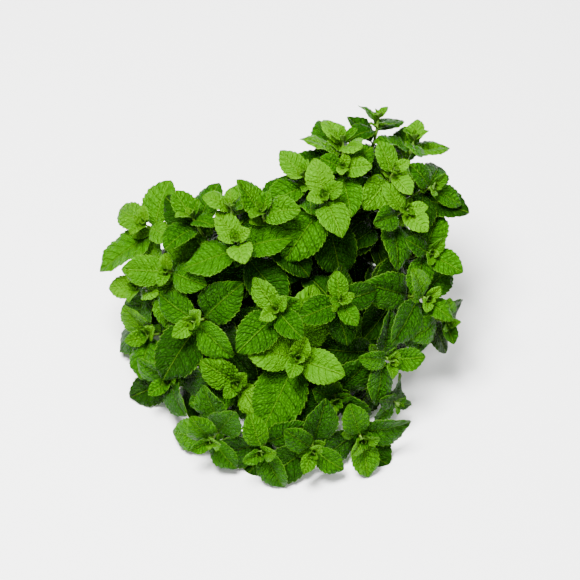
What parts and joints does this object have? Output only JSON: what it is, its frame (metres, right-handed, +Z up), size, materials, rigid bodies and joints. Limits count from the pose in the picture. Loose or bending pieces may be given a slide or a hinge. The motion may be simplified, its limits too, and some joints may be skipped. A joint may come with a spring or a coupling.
{
  "type": "mint bunch",
  "caption": "Bunch of fresh mint sprigs with toothed, net-veined leaves in a dense dome, their bare stems held by a rubber band, lying on its side.",
  "frame": {"origin": "on the surface that the bunch lies on, under the middle of its bounding box", "axes": "+X across the head of leaves to the right as seen from the front, +Y from the head back towards the cut ends of the stems, +Z up from the surface"},
  "size_m": [0.2502, 0.2728, 0.1755],
  "materials": {
    "mint": "satin leaf, bright green, paler underneath",
    "rubber": "satin natural rubber"
  },
  "bodies": {
    "root": {"sprig_01": "mint", "sprig_02": "mint", "sprig_03": "mint", "sprig_04": "mint", "sprig_05": "mint", "sprig_06": "mint", "sprig_07": "mint", "sprig_08": "mint", "sprig_09": "mint", "sprig_10": "mint", "sprig_11": "mint", "sprig_12": "mint", "sprig_13": "mint", "sprig_14": "mint", "sprig_15": "mint", "sprig_16": "mint", "sprig_17": "mint", "sprig_18": "mint", "sprig_19": "mint", "sprig_20": "mint", "sprig_21": "mint", "sprig_22": "mint", "sprig_23": "mint", "sprig_24": "mint", "sprig_25": "mint", "sprig_26": "mint", "sprig_27": "mint", "sprig_28": "mint", "sprig_29": "mint", "sprig_30": "mint", "sprig_31": "mint", "sprig_32": "mint", "sprig_33": "mint", "rubber_band": "rubber"}
  },
  "joints": []
}
